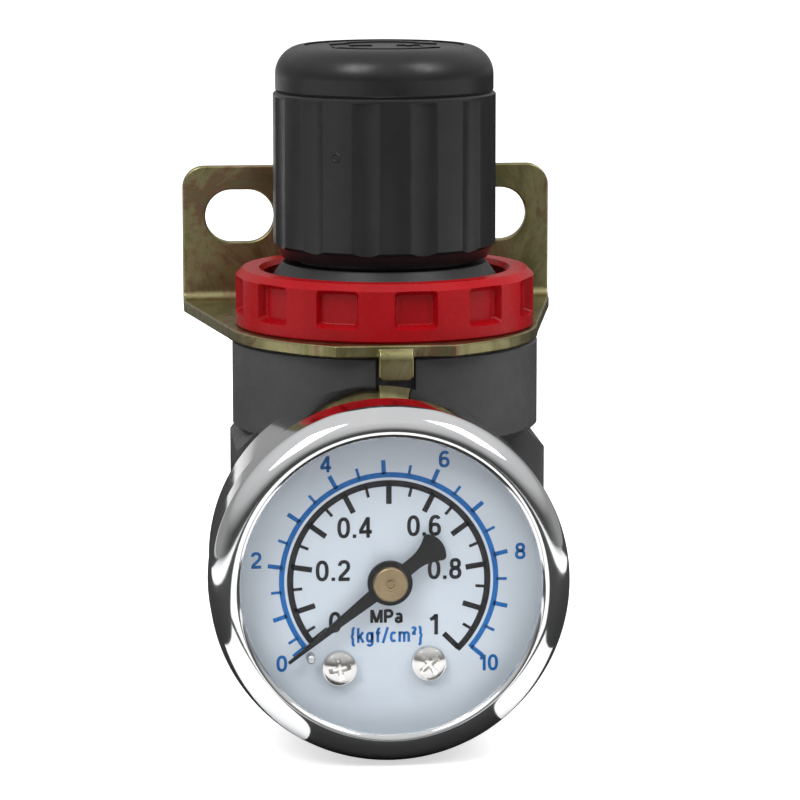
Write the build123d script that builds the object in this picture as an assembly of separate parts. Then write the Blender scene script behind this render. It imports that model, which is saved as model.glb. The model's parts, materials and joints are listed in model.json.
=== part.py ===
from build123d import *
import os
from math import cos, hypot, pi, radians, sin

# Air pressure regulator with a 40 mm gauge, an angle bracket and a panel nut.
# Origin: on the knob axis, in the flat face of the bottom plug.
# +Z up, +X from the inlet port to the outlet port, -Y towards the gauge face.
# All dimensions are in millimetres.

# ---------------------------------------------------------------- clearances
CONTACT = 0.02            # gap between faces that rest on each other
SLIDE_FIT = 0.05          # radial clearance of sliding and turning fits
THREAD_GAP = 0.08         # radial clearance between mating ring threads

# ---------------------------------------------------------------- body
PORT_Z = 22.0             # height of the port and gauge axes
SEAT_Z = 44.5             # top of the body, where the bracket lies
BODY_R = 20.0             # upper cylinder
BARREL_R = 15.5           # lower barrel
CONE_TOP_Z = 33.3         # where the upper cylinder starts to taper in
BLOCK_HALF_X = 20.0       # port faces
BLOCK_HALF_Y = 10.0
BLOCK_LOW_Z = 13.0
BLOCK_EDGE_Z = 30.95      # top corner of a port face
BLOCK_SLOPE = 3.0         # 45 degree shoulder above that corner
PORT_R = 5.9              # G1/4 thread, minor radius
PORT_DEPTH = 11.0
GAUGE_X = -3.75           # gauge axis, left of the knob axis
GAUGE_PORT_R = 4.4        # G1/8 thread, minor radius
GAUGE_PORT_DEPTH = 9.0
BOSS_R = 8.5              # gauge bosses, front and rear
BOSS_Y = 18.5             # distance of their faces from the knob axis

# ---------------------------------------------------------------- diaphragm chamber and valve
LEDGE_Z = 37.0            # ledge under the diaphragm rim
CHAMBER_R = 15.6
CHAMBER_FLOOR_Z = 33.0
OUTLET_R = 6.5            # well above the valve seat
SEAT_TOP_Z = 22.5
SEAT_LOW_Z = 19.5
ORIFICE_R = 3.0
VALVE_CHAMBER_R = 7.5
BODY_LOW_Z = 5.5          # lower face of the body, on the plug flange
STEM_R = 1.5
VALVE_HEAD_R = 5.2
VALVE_GUIDE_R = 3.0
VALVE_TRAVEL = 0.8        # also the travel of the diaphragm

# ---------------------------------------------------------------- bonnet and adjusting parts
THREAD_PITCH = 1.5
NECK_THREAD_Z = 45.0      # first ring of the M33 x 1.5 bonnet thread
NECK_THREAD_TURNS = 4
NECK_CREST_R = 16.4
NECK_ROOT_R = 15.65
SKIRT_THREAD_Z = 39.0     # bonnet skirt thread in the body
SKIRT_THREAD_TURNS = 3
SKIRT_CREST_R = 17.9
SKIRT_ROOT_R = 17.3
PLUG_THREAD_Z = 7.0       # bottom plug thread in the body
PLUG_THREAD_TURNS = 3
PLUG_CREST_R = 8.9
PLUG_ROOT_R = 8.3
BONNET_LOW_Z = 38.2
COLLAR_R = 13.4           # top rim of the bonnet cone
COLLAR_Z = 54.4
SLEEVE_R = 11.2           # bonnet sleeve inside the knob
SLEEVE_BORE_R = 9.6
SLEEVE_TOP_Z = 69.6
SLEEVE_ROOF_Z = 67.0
SCREW_R = 4.0             # M8 x 1.25 adjusting screw
SCREW_PITCH = 1.25
JOURNAL_R = 3.5
HEX_AF = 6.0              # screw head, across flats
SPRING_TOP_Z = 59.0       # underside of the spring nut with the knob backed off
SPRING_NUT_H = 5.0
SPRING_WIRE = 2.2
SPRING_MEAN_R = 8.1
SPRING_COILS = 5.5
SPRING_SEAT_Z = 38.9      # where the main spring stands

# ---------------------------------------------------------------- panel nut
NUT_LOW_Z = 46.1
NUT_H = 7.5
NUT_R = 19.5
NUT_POCKETS = 12
NUT_POCKET_PHASE = 7.1    # degrees from the gauge side towards the outlet
NUT_POCKET_ARC = 17.0     # degrees at the rim
NUT_POCKET_DEPTH = 1.3

# ---------------------------------------------------------------- bracket
BRACKET_T = 1.6
BRACKET_EDGE_R = 0.25     # rounding of the stamped edges
BRACKET_X = -0.3          # centre line of the bracket
BRACKET_HALF_W = 25.2
BRACKET_WALL_Y = 26.1     # front face of the upright plate
BRACKET_TOP_Z = 64.4
BRACKET_BEND_R = 1.3      # inner radius of the rear bend
BRACKET_WAIST = 20.4      # half width beside the nut
BRACKET_NOSE_Y = -20.6
BRACKET_NOSE_HALF = 7.6
BRACKET_HOLE_R = 16.75
SLOT_X = 17.4
SLOT_Z = 57.55
SLOT_LENGTH = 9.4
SLOT_WIDTH = 7.2
TAB_W = 4.4               # tab that keeps the bracket from turning
TAB_FACE_Y = -21.3
TAB_LOW_Z = 41.6
TAB_NOTCH_W = 5.1

# ---------------------------------------------------------------- knob
KNOB_LOW_Z = 55.1
KNOB_TOP_Z = 82.6
KNOB_R = 14.5
KNOB_CAP_R = 14.2
KNOB_STEP_Z = 76.5        # where the fluted skirt ends
KNOB_CAVITY_R = 12.4
KNOB_WEB_Z = 73.0
KNOB_FLUTES = 12
KNOB_FLUTE_PHASE = 15.8   # degrees from the gauge side towards the outlet
KNOB_FLUTE_ARC = 16.0
KNOB_FLUTE_DEPTH = 0.4
KNOB_LIFT = 3.0
CAP_PLATE_R = 10.4

# ---------------------------------------------------------------- gauge, measured forward from the knob axis
CASE_BACK = 30.0
CASE_R = 20.8
CASE_WALL = 0.7
CASE_FRONT = 51.4
BEZEL_R = 21.5
BEZEL_ROLL = 2.9          # radius of the rolled rim
BEZEL_FRONT = 54.0
BEZEL_WALL = 0.6
BEZEL_OPENING_R = 17.8
LENS_BACK = 52.4
LENS_T = 0.8
DIAL_FRONT = 49.35
DIAL_T = 0.5
DIAL_R = 19.9
REAR_PLATE = 38.6
FRONT_PLATE = 45.0
PLATE_T = 0.7
GEAR_MODULE = 0.2
PINION_TEETH = 10
SECTOR_TEETH = 70         # teeth of the full circle that the sector is cut from
SECTOR_PIVOT_ANGLE = -45.0
TAIL_R = 4.2              # sector pivot to link pin
LINK_LENGTH = 8.0
TUBE_R = 14.0             # bend radius of the Bourdon tube
TUBE_START = 262.0        # degrees, in the stem block
TUBE_END = -12.0
TUBE_W = 34.8             # its distance in front of the knob axis
TUBE_FLAT = 1.5           # section, across
TUBE_WIDE = 4.6           # section, along the gauge axis
STEM_AF = 12.0            # square of the gauge stem
POINTER_REST = 218.3      # degrees, anticlockwise from +X as seen from the front
POINTER_SWEEP = 263.3     # degrees, clockwise, for the full scale
POINTER_BACK = 50.6
POINTER_T = 0.3
DIAL_SCREWS = ((-5.97, -10.5), (4.75, -10.1))
PILLARS = ((-6.0, 5.0), (-6.3, -6.6), (7.6, 5.2))
MOVEMENT_SCREWS = ((0.0, 2.5), (0.0, -5.0))
STOP_PIN_ANGLE = 224.0
STOP_PIN_R = 13.1
CASE_SCREW_X = 8.0

SECTOR_SWING = POINTER_SWEEP * PINION_TEETH / SECTOR_TEETH
CENTRE_DISTANCE = GEAR_MODULE * (PINION_TEETH + SECTOR_TEETH) / 2
PIVOT = Vector(
    CENTRE_DISTANCE * cos(radians(SECTOR_PIVOT_ANGLE)),
    CENTRE_DISTANCE * sin(radians(SECTOR_PIVOT_ANGLE)),
)
GAUGE = Plane(origin=(GAUGE_X, 0, PORT_Z), x_dir=(1, 0, 0), z_dir=(0, -1, 0))

os.makedirs("parts", exist_ok=True)


# ---------------------------------------------------------------- helpers
def save(name, shape):
    export_step(shape, f"parts/{name}.step")


def disc(radius, low, high, x=0.0, y=0.0):
    """Cylinder along Z between two levels."""
    return Pos(x, y, low) * Cylinder(radius, high - low, align=(Align.CENTER, Align.CENTER, Align.MIN))


def ring(outer, inner, low, high, x=0.0, y=0.0):
    """Hollow cylinder along Z between two levels."""
    return disc(outer, low, high, x, y) - disc(inner, low - 1, high + 1, x, y)


def block(x0, x1, y0, y1, z0, z1):
    """Box between two corners."""
    return Pos((x0 + x1) / 2, (y0 + y1) / 2, (z0 + z1) / 2) * Box(x1 - x0, y1 - y0, z1 - z0)


def turned(points):
    """Solid of revolution about Z from a closed outline of (radius, height) points."""
    face = make_face(Polyline(*[(r, 0, z) for r, z in points], close=True))
    return revolve(face, Axis.Z)


def rod_along_x(radius, x0, x1, y, z):
    return Pos((x0 + x1) / 2, y, z) * Rot(0, 90, 0) * Cylinder(radius, abs(x1 - x0))


def rod_along_y(radius, y0, y1, x, z):
    return Pos(x, (y0 + y1) / 2, z) * Rot(90, 0, 0) * Cylinder(radius, abs(y1 - y0))


def thread_rings(root, crest, start, turns, pitch):
    """Outline points of a thread drawn as closed rings, from the bottom up."""
    points = []
    for turn in range(turns):
        z = start + turn * pitch
        points += [(root, z), (root, z + 0.25 * pitch)]
        points += [(crest, z + 0.5625 * pitch), (crest, z + 0.6875 * pitch)]
    points.append((root, start + turns * pitch))
    return points


def wider(points, gap):
    """The same outline moved outwards, for the mating thread."""
    return [(r + gap, z) for r, z in points]


def hexagon_bar(across_flats, low, high):
    outline = Plane.XY.offset(low) * RegularPolygon(across_flats / 2, 6, major_radius=False)
    return extrude(outline, high - low)


def polar(radius, degrees):
    return Vector(radius * cos(radians(degrees)), radius * sin(radians(degrees)))


def coil_spring(mean_radius, wire, low, high, coils):
    """Compression spring with open ends, standing between two levels."""
    height = high - low - wire
    path = Pos(0, 0, low + wire / 2) * Helix(height / coils, height, mean_radius)
    section = Plane(origin=path @ 0, z_dir=path % 0) * Circle(wire / 2)
    return sweep(section, path, is_frenet=True)


def on_gauge(shape):
    """Place a piece drawn in gauge coordinates: right, up, forward."""
    return GAUGE.location * shape


def hull_plate(circles, low, high):
    """Flat plate whose outline wraps the given (x, y, radius) circles."""
    edges = []
    for x, y, radius in circles:
        edges += (Pos(x, y) * Circle(radius)).edges()
    outline = Plane.XY.offset(low) * make_hull(edges)
    return extrude(outline, high - low)


# ---------------------------------------------------------------- die-cast body
def port_block():
    half = BLOCK_HALF_X
    top = BLOCK_EDGE_Z + BLOCK_SLOPE
    foot = 1.5
    outline = Polyline(
        (-half, BLOCK_LOW_Z + foot),
        (-half + foot, BLOCK_LOW_Z),
        (half - foot, BLOCK_LOW_Z),
        (half, BLOCK_LOW_Z + foot),
        (half, BLOCK_EDGE_Z),
        (half - BLOCK_SLOPE, top),
        (-half + BLOCK_SLOPE, top),
        (-half, BLOCK_EDGE_Z),
        close=True,
    )
    solid = extrude(Plane.XZ * make_face(outline), BLOCK_HALF_Y, both=True)
    corners = solid.edges().filter_by(Axis.Z)
    return fillet(corners, 1.0)


def body_casting():
    shell = turned([
        (0, BODY_LOW_Z),
        (BARREL_R - 2.0, BODY_LOW_Z),
        (BARREL_R, BODY_LOW_Z + 2.0),
        (BARREL_R, CONE_TOP_Z - 4.0),
        (BODY_R, CONE_TOP_Z),
        (BODY_R, SEAT_Z - 0.4),
        (BODY_R - 0.4, SEAT_Z),
        (0, SEAT_Z),
    ])
    shell += port_block()
    boss = rod_along_y(BOSS_R, -BOSS_Y, BOSS_Y, GAUGE_X, PORT_Z)
    boss = chamfer(boss.edges().filter_by(GeomType.CIRCLE), 0.5)
    shell += boss

    upper_bore = turned(
        [(0, CHAMBER_FLOOR_Z), (CHAMBER_R, CHAMBER_FLOOR_Z), (CHAMBER_R, LEDGE_Z)]
        + [(SKIRT_ROOT_R + THREAD_GAP, LEDGE_Z)]
        + wider(
            thread_rings(SKIRT_ROOT_R, SKIRT_CREST_R, SKIRT_THREAD_Z, SKIRT_THREAD_TURNS, THREAD_PITCH),
            THREAD_GAP,
        )
        + [(SKIRT_CREST_R + THREAD_GAP, SEAT_Z - 0.4), (SKIRT_CREST_R + 0.5, SEAT_Z + 0.1)]
        + [(0, SEAT_Z + 0.1)]
    )
    lower_bore = turned(
        [(0, BODY_LOW_Z - 0.1), (PLUG_CREST_R + 0.2, BODY_LOW_Z - 0.1)]
        + [(PLUG_CREST_R + 0.2, BODY_LOW_Z + 0.3)]
        + wider(
            thread_rings(PLUG_ROOT_R, PLUG_CREST_R, PLUG_THREAD_Z, PLUG_THREAD_TURNS, THREAD_PITCH),
            THREAD_GAP,
        )
        + [(PLUG_ROOT_R + THREAD_GAP, 12.4), (VALVE_CHAMBER_R, 12.4)]
        + [(VALVE_CHAMBER_R, SEAT_LOW_Z), (ORIFICE_R + 0.9, SEAT_LOW_Z)]
        + [(ORIFICE_R + 0.5, SEAT_LOW_Z - 0.3), (ORIFICE_R, SEAT_LOW_Z - 0.3)]
        + [(ORIFICE_R, SEAT_TOP_Z), (OUTLET_R, SEAT_TOP_Z)]
        + [(OUTLET_R, CHAMBER_FLOOR_Z + 1), (0, CHAMBER_FLOOR_Z + 1)]
    )
    shell -= upper_bore
    shell -= lower_bore

    port_floor_x = BLOCK_HALF_X - PORT_DEPTH
    for side in (-1, 1):
        shell -= rod_along_x(PORT_R, side * port_floor_x, side * (BLOCK_HALF_X + 1), 0, PORT_Z)
    shell -= rod_along_x(1.5, -port_floor_x - 0.1, -VALVE_CHAMBER_R + 1, 0, PORT_Z - 4.1)
    shell -= rod_along_x(2.2, OUTLET_R - 1, port_floor_x + 0.1, 0, PORT_Z + 3.3)

    gauge_floor_y = BOSS_Y - GAUGE_PORT_DEPTH
    for side in (-1, 1):
        mouth = side * (BOSS_Y + 1)
        shell -= rod_along_y(GAUGE_PORT_R, side * gauge_floor_y, mouth, GAUGE_X, PORT_Z)
        shell -= rod_along_y(1.0, side * 4.5, side * (gauge_floor_y + 0.1), GAUGE_X, PORT_Z + 2.5)

    notch_half = TAB_NOTCH_W / 2
    shell -= block(
        BRACKET_X - notch_half,
        BRACKET_X + notch_half,
        -BODY_R - 1,
        -BODY_R + 1.1,
        TAB_LOW_Z - 1.6,
        SEAT_Z + 1,
    )
    return shell


# ---------------------------------------------------------------- bracket
def mounting_bracket():
    low = SEAT_Z
    high = SEAT_Z + BRACKET_T
    bend_out = BRACKET_BEND_R + BRACKET_T
    wall_back = BRACKET_WALL_Y + BRACKET_T
    bend_y = wall_back - bend_out

    edge = [
        Line((-BRACKET_HALF_W, bend_y), (-BRACKET_WAIST, -1.0)),
        ThreePointArc((-BRACKET_WAIST, -1.0), (-15.9, -13.1), (-BRACKET_NOSE_HALF, BRACKET_NOSE_Y)),
        Line((-BRACKET_NOSE_HALF, BRACKET_NOSE_Y), (BRACKET_NOSE_HALF, BRACKET_NOSE_Y)),
        ThreePointArc((BRACKET_NOSE_HALF, BRACKET_NOSE_Y), (15.9, -13.1), (BRACKET_WAIST, -1.0)),
        Line((BRACKET_WAIST, -1.0), (BRACKET_HALF_W, bend_y)),
        Line((BRACKET_HALF_W, bend_y), (-BRACKET_HALF_W, bend_y)),
    ]
    foot = extrude(Plane.XY.offset(low) * make_face(edge), BRACKET_T)

    bend = ring(bend_out, BRACKET_BEND_R, -BRACKET_HALF_W, BRACKET_HALF_W)
    bend = Pos(0, bend_y, low + bend_out) * Rot(0, 90, 0) * bend
    bend &= block(-30, 30, bend_y, wall_back + 1, low - 1, low + bend_out)

    wall = block(
        -BRACKET_HALF_W, BRACKET_HALF_W, BRACKET_WALL_Y, wall_back, low + bend_out, BRACKET_TOP_Z
    )
    top_corners = wall.edges().filter_by(Axis.Y).group_by(Axis.Z)[-1]
    wall = fillet(top_corners, 3.0)
    slot = extrude(Plane.XZ * SlotOverall(SLOT_LENGTH, SLOT_WIDTH), 5.0, both=True)
    for side in (-1, 1):
        wall -= Pos(side * SLOT_X, BRACKET_WALL_Y, SLOT_Z) * slot

    tab_inner = 0.4
    tab_outer = tab_inner + BRACKET_T
    tab_y = TAB_FACE_Y + tab_outer
    half = TAB_W / 2
    tab_bend = ring(tab_outer, tab_inner, -half, half)
    tab_bend = Pos(0, tab_y, high - tab_outer) * Rot(0, 90, 0) * tab_bend
    tab_bend &= block(-half, half, TAB_FACE_Y - 1, tab_y, high - tab_outer, high + 1)
    tab = block(-half, half, TAB_FACE_Y, TAB_FACE_Y + BRACKET_T, TAB_LOW_Z, high - tab_outer)
    tab = chamfer(tab.edges().filter_by(Axis.Y).group_by(Axis.Z)[0], 0.5)

    solid = Pos(BRACKET_X, 0, 0) * (foot + bend + wall + tab_bend + tab)
    solid -= disc(BRACKET_HOLE_R, low - 1, high + 1)
    return fillet(solid.edges(), BRACKET_EDGE_R)


# ---------------------------------------------------------------- panel nut
def nut_pocket():
    """Tool for one drafted window in the rim of the nut, centred on +X."""
    low = NUT_LOW_Z + 1.7
    high = NUT_LOW_Z + 6.7
    floor_r = NUT_R - NUT_POCKET_DEPTH
    half_mouth = NUT_R * radians(NUT_POCKET_ARC) / 2
    draft = 0.55
    middle = (low + high) / 2
    overrun = 1.0
    slope = draft / NUT_POCKET_DEPTH * (NUT_POCKET_DEPTH + overrun)
    floor = Plane(origin=(floor_r, 0, middle), x_dir=(0, 1, 0), z_dir=(1, 0, 0))
    mouth = Plane(origin=(NUT_R + overrun, 0, middle), x_dir=(0, 1, 0), z_dir=(1, 0, 0))
    floor_w = 2 * (half_mouth - draft)
    floor_h = high - low - 2 * draft
    tool = loft([
        floor * Rectangle(floor_w, floor_h),
        mouth * Rectangle(floor_w + 2 * slope, floor_h + 2 * slope),
    ])
    corners = [edge for edge in tool.edges() if abs((edge @ 0).X - (edge @ 1).X) > overrun]
    tool = fillet(corners, 0.6)
    return fillet(tool.edges().group_by(Axis.X)[0], 0.3)


def panel_nut():
    high = NUT_LOW_Z + NUT_H
    thread_start = NECK_THREAD_Z + THREAD_PITCH
    minor = NECK_ROOT_R + THREAD_GAP + 0.1
    solid = turned(
        [(NECK_CREST_R + 0.3, NUT_LOW_Z), (NECK_CREST_R + 0.15, NUT_LOW_Z + 0.3)]
        + wider(
            thread_rings(
                NECK_ROOT_R, NECK_CREST_R, thread_start, NECK_THREAD_TURNS - 1, THREAD_PITCH
            ),
            THREAD_GAP,
        )
        + [(minor, high - 0.6), (minor + 0.6, high)]
        + [(NUT_R - 0.9, high), (NUT_R, high - 0.9)]
        + [(NUT_R, NUT_LOW_Z + 0.3), (NUT_R - 0.3, NUT_LOW_Z)]
    )
    pocket = nut_pocket()
    for number in range(NUT_POCKETS):
        solid -= Rot(0, 0, NUT_POCKET_PHASE - 90 + number * 360 / NUT_POCKETS) * pocket
    return solid


# ---------------------------------------------------------------- bonnet
def bonnet():
    bead_low = 62.4
    bead_high = 64.0
    solid = turned(
        [(12.6, BONNET_LOW_Z), (SKIRT_ROOT_R, BONNET_LOW_Z)]
        + thread_rings(SKIRT_ROOT_R, SKIRT_CREST_R, SKIRT_THREAD_Z, SKIRT_THREAD_TURNS, THREAD_PITCH)
        + [(SKIRT_ROOT_R, 44.0), (NECK_ROOT_R, 44.0)]
        + thread_rings(NECK_ROOT_R, NECK_CREST_R, NECK_THREAD_Z, NECK_THREAD_TURNS, THREAD_PITCH)
        + [(15.6, 51.2), (14.3, 53.1), (COLLAR_R, COLLAR_Z - 0.1), (COLLAR_R - 0.1, COLLAR_Z)]
        + [(SLEEVE_R, COLLAR_Z), (SLEEVE_R, bead_low), (SLEEVE_R + 0.9, bead_low)]
        + [(SLEEVE_R + 0.9, bead_high - 0.6), (SLEEVE_R + 0.3, bead_high), (SLEEVE_R, bead_high)]
        + [(SLEEVE_R, SLEEVE_TOP_Z - 0.8), (SLEEVE_R - 0.8, SLEEVE_TOP_Z)]
        + [(JOURNAL_R + SLIDE_FIT, SLEEVE_TOP_Z), (JOURNAL_R + SLIDE_FIT, SLEEVE_ROOF_Z)]
        + [(SLEEVE_BORE_R, SLEEVE_ROOF_Z), (SLEEVE_BORE_R, 53.0), (12.6, 50.0)]
    )
    # Two keyways stop the spring nut from turning.
    keyway = block(-10.5, 10.5, -1.5, 1.5, 45.0, SLEEVE_ROOF_Z)
    solid -= keyway
    # Vent beside the collar, for air released past the diaphragm.
    vent = rod_along_x(0.8, 11.0, 19.0, 0, BONNET_LOW_Z + 0.4)
    return solid - vent


def adjusting_screw():
    shank_low = 50.4
    collar_low = 64.9
    collar_high = 66.1
    turns = 11
    thread_z = collar_low - turns * SCREW_PITCH
    root = SCREW_R - 0.65
    solid = turned(
        [(0, shank_low), (root - 0.5, shank_low), (root, shank_low + 0.4)]
        + thread_rings(root, SCREW_R, thread_z, turns, SCREW_PITCH)
        + [(5.6, collar_low), (5.6, collar_high), (JOURNAL_R, collar_high)]
        + [(JOURNAL_R, 69.8), (2.9, 69.8), (2.9, 70.6), (JOURNAL_R, 70.6), (JOURNAL_R, 71.2)]
        + [(0, 71.2)]
    )
    return solid + hexagon_bar(HEX_AF, 71.2, 79.6)


def thrust_washer():
    return ring(6.4, JOURNAL_R + SLIDE_FIT, 66.12, 66.95)


def screw_circlip():
    """E-clip in the groove above the sleeve roof."""
    clip = ring(5.2, 2.95, 69.86, 70.54)
    mouth = block(0, 6, -2.4, 2.4, 69, 71)
    return clip - mouth


def spring_nut():
    high = SPRING_TOP_Z + SPRING_NUT_H
    solid = disc(SLEEVE_BORE_R - 0.15, SPRING_TOP_Z, high)
    solid += block(-10.35, 10.35, -1.4, 1.4, SPRING_TOP_Z, high)
    solid = chamfer(solid.edges().group_by(Axis.Z)[-1], 0.3)
    return solid - disc(SCREW_R + SLIDE_FIT, SPRING_TOP_Z - 1, high + 1)


def main_spring():
    return coil_spring(
        SPRING_MEAN_R, SPRING_WIRE, SPRING_SEAT_Z + CONTACT, SPRING_TOP_Z - CONTACT, SPRING_COILS
    )


# ---------------------------------------------------------------- diaphragm stack
def lower_spring_seat():
    return turned([
        (2.65, 37.24),
        (11.4, 37.24),
        (11.6, 37.44),
        (11.6, SPRING_SEAT_Z),
        (6.7, SPRING_SEAT_Z),
        (6.5, 41.2),
        (6.2, 41.5),
        (2.65, 41.5),
    ])


def diaphragm():
    """Rubber sheet with one convolution between its rim and its centre."""
    sheet_low = 36.3
    sheet_high = 37.2
    middle = (13.4, sheet_high)
    fold_outer = 1.85
    fold_inner = 1.15
    rim = Rectangle(2.7, 0.96, align=(Align.MIN, Align.MIN))
    centre = Rectangle(9.5, sheet_high - sheet_low, align=(Align.MIN, Align.MIN))
    fold = Circle(fold_outer) - Circle(fold_inner)
    fold -= Pos(0, 5) * Rectangle(10, 10)
    outline = Pos(*middle) * fold
    outline += Pos(14.6, sheet_high) * rim
    outline += Pos(2.7, sheet_low) * centre
    return revolve(Plane.XZ * outline, Axis.Z)


def diaphragm_lower_disc():
    """Plate under the diaphragm with the hollow rivet that joins the stack."""
    return turned([
        (1.0, 35.2),
        (10.7, 35.2),
        (11.0, 35.5),
        (11.0, 36.28),
        (2.6, 36.28),
        (2.6, 39.6),
        (2.2, 40.0),
        (1.0, 40.0),
    ])


# ---------------------------------------------------------------- valve
def valve_poppet():
    groove = 2.2
    return turned([
        (0, 6.8),
        (VALVE_GUIDE_R - 0.4, 6.8),
        (VALVE_GUIDE_R, 7.2),
        (VALVE_GUIDE_R, 8.0),
        (groove, 8.0),
        (groove, 9.5),
        (VALVE_GUIDE_R, 9.5),
        (VALVE_GUIDE_R, 15.6),
        (VALVE_HEAD_R, 15.6),
        (VALVE_HEAD_R, 18.0),
        (STEM_R, 18.0),
        (STEM_R, 34.8),
        (STEM_R - 0.35, 35.16),
        (0, 35.16),
    ])


def valve_seal():
    return ring(4.9, STEM_R + CONTACT, 18.0 + CONTACT, SEAT_LOW_Z - 0.33)


def valve_oring():
    section = Pos(2.95 - 0.36, 8.75) * Circle(0.36)
    return revolve(Plane.XZ * section, Axis.Z)


def valve_spring():
    return coil_spring(5.4, 0.7, 7.0 + CONTACT, 15.6 - CONTACT, 4.5)


def bottom_plug():
    flange_r = 12.0
    solid = turned(
        [(0, 0), (flange_r - 0.6, 0), (flange_r, 0.6), (flange_r, BODY_LOW_Z - 0.5)]
        + [(flange_r - 0.5, BODY_LOW_Z - CONTACT), (10.5, BODY_LOW_Z - CONTACT)]
        + [(10.5, BODY_LOW_Z - 1.3), (9.0, BODY_LOW_Z - 1.3), (9.0, BODY_LOW_Z)]
        + [(PLUG_ROOT_R, BODY_LOW_Z + 0.3)]
        + thread_rings(PLUG_ROOT_R, PLUG_CREST_R, PLUG_THREAD_Z, PLUG_THREAD_TURNS, THREAD_PITCH)
        + [(PLUG_ROOT_R, 12.0), (6.6, 12.0), (6.6, 7.0), (4.3, 7.0), (4.3, 11.0)]
        + [(VALVE_GUIDE_R + SLIDE_FIT, 11.0), (VALVE_GUIDE_R + SLIDE_FIT, 3.2), (0, 3.2)]
    )
    grip = disc(1.1, -1, BODY_LOW_Z - 1.6, flange_r + 0.3, 0)
    for number in range(12):
        solid -= Rot(0, 0, 15 + 30 * number) * grip
    return solid


def bottom_plug_oring():
    section = Pos(9.75, BODY_LOW_Z - 0.66) * Circle(0.62)
    return revolve(Plane.XZ * section, Axis.Z)


def rear_port_plug():
    """Socket-head pipe plug in the rear gauge port."""
    shank = rod_along_y(GAUGE_PORT_R - SLIDE_FIT, BOSS_Y - 7.5, BOSS_Y + 0.9, GAUGE_X, PORT_Z)
    head = rod_along_y(6.2, BOSS_Y + 0.95, BOSS_Y + 3.6, GAUGE_X, PORT_Z)
    head = chamfer(head.edges().filter_by(GeomType.CIRCLE).group_by(Axis.Y)[-1], 0.6)
    neck = rod_along_y(GAUGE_PORT_R - SLIDE_FIT, BOSS_Y, BOSS_Y + 1.5, GAUGE_X, PORT_Z)
    socket_plane = Plane(origin=(GAUGE_X, BOSS_Y + 4, PORT_Z), z_dir=(0, -1, 0))
    socket = extrude(socket_plane * RegularPolygon(2.5, 6, major_radius=False), 4.6)
    return shank + neck + head - socket


def rear_plug_seal():
    seal = rod_along_y(6.0, BOSS_Y + CONTACT, BOSS_Y + 0.93, GAUGE_X, PORT_Z)
    return seal - rod_along_y(GAUGE_PORT_R + 0.05, BOSS_Y - 1, BOSS_Y + 2, GAUGE_X, PORT_Z)


# ---------------------------------------------------------------- knob
def knob():
    fillet_r = KNOB_CAP_R - CAP_PLATE_R
    shoulder = (KNOB_CAP_R - fillet_r * (1 - cos(pi / 4)), KNOB_TOP_Z - fillet_r * (1 - sin(pi / 4)))
    rim = [
        (CAP_PLATE_R, KNOB_TOP_Z),
        (CAP_PLATE_R, KNOB_TOP_Z - 2.3),
        (0, KNOB_TOP_Z - 2.3),
        (0, KNOB_WEB_Z),
        (KNOB_CAVITY_R - 1.0, KNOB_WEB_Z),
        (KNOB_CAVITY_R, KNOB_WEB_Z - 1.0),
        (KNOB_CAVITY_R, 59.6),
        (SLEEVE_R + 0.3, 58.7),
        (SLEEVE_R + 0.3, 57.7),
        (KNOB_CAVITY_R, 56.8),
        (KNOB_CAVITY_R, KNOB_LOW_Z),
        (13.45, KNOB_LOW_Z),
        (14.1, KNOB_LOW_Z + 1.4),
        (KNOB_R, KNOB_LOW_Z + 1.8),
        (KNOB_R, KNOB_STEP_Z - 0.2),
        (KNOB_R - 0.2, KNOB_STEP_Z),
        (KNOB_CAP_R - 0.15, KNOB_STEP_Z + 0.1),
        (KNOB_CAP_R, KNOB_STEP_Z + 0.4),
        (KNOB_CAP_R, KNOB_TOP_Z - fillet_r),
    ]
    outline = Polyline(*rim) + ThreePointArc(rim[-1], shoulder, rim[0])
    solid = revolve(Plane.XZ * make_face(outline), Axis.Z)
    solid -= hexagon_bar(HEX_AF + 0.1, KNOB_WEB_Z - 1, KNOB_TOP_Z)

    flute_half = KNOB_R * radians(KNOB_FLUTE_ARC) / 2
    flute_r = (flute_half**2 + KNOB_FLUTE_DEPTH**2) / (2 * KNOB_FLUTE_DEPTH)
    flute = disc(flute_r, KNOB_LOW_Z - 1, KNOB_STEP_Z - 0.5, KNOB_R - KNOB_FLUTE_DEPTH + flute_r, 0)
    for number in range(KNOB_FLUTES):
        solid -= Rot(0, 0, KNOB_FLUTE_PHASE - 90 + number * 360 / KNOB_FLUTES) * flute
    rib_edges = [
        edge
        for edge in solid.edges().filter_by(Axis.Z)
        if edge.center().Z < KNOB_STEP_Z and hypot(edge.center().X, edge.center().Y) > KNOB_CAP_R
    ]
    return fillet(rib_edges, 0.8)


def knob_top_plate():
    plate = disc(CAP_PLATE_R - 0.06, KNOB_TOP_Z - 2.28, KNOB_TOP_Z - 0.2)
    return chamfer(plate.edges().group_by(Axis.Z)[-1], 0.2)


# ---------------------------------------------------------------- gauge housing
def gauge_case():
    shell = disc(CASE_R, CASE_BACK, CASE_FRONT)
    shell = fillet(shell.edges().group_by(Axis.Z)[0], 2.0)
    hollow = disc(CASE_R - CASE_WALL, CASE_BACK + CASE_WALL, CASE_FRONT + 1)
    shell -= fillet(hollow.edges().group_by(Axis.Z)[0], 2.0 - CASE_WALL)
    shell -= disc(5.0, CASE_BACK - 1, CASE_BACK + 1)
    for side in (-1, 1):
        shell -= disc(1.3, CASE_BACK - 1, CASE_BACK + 1, side * CASE_SCREW_X, 0)
    return shell


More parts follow.
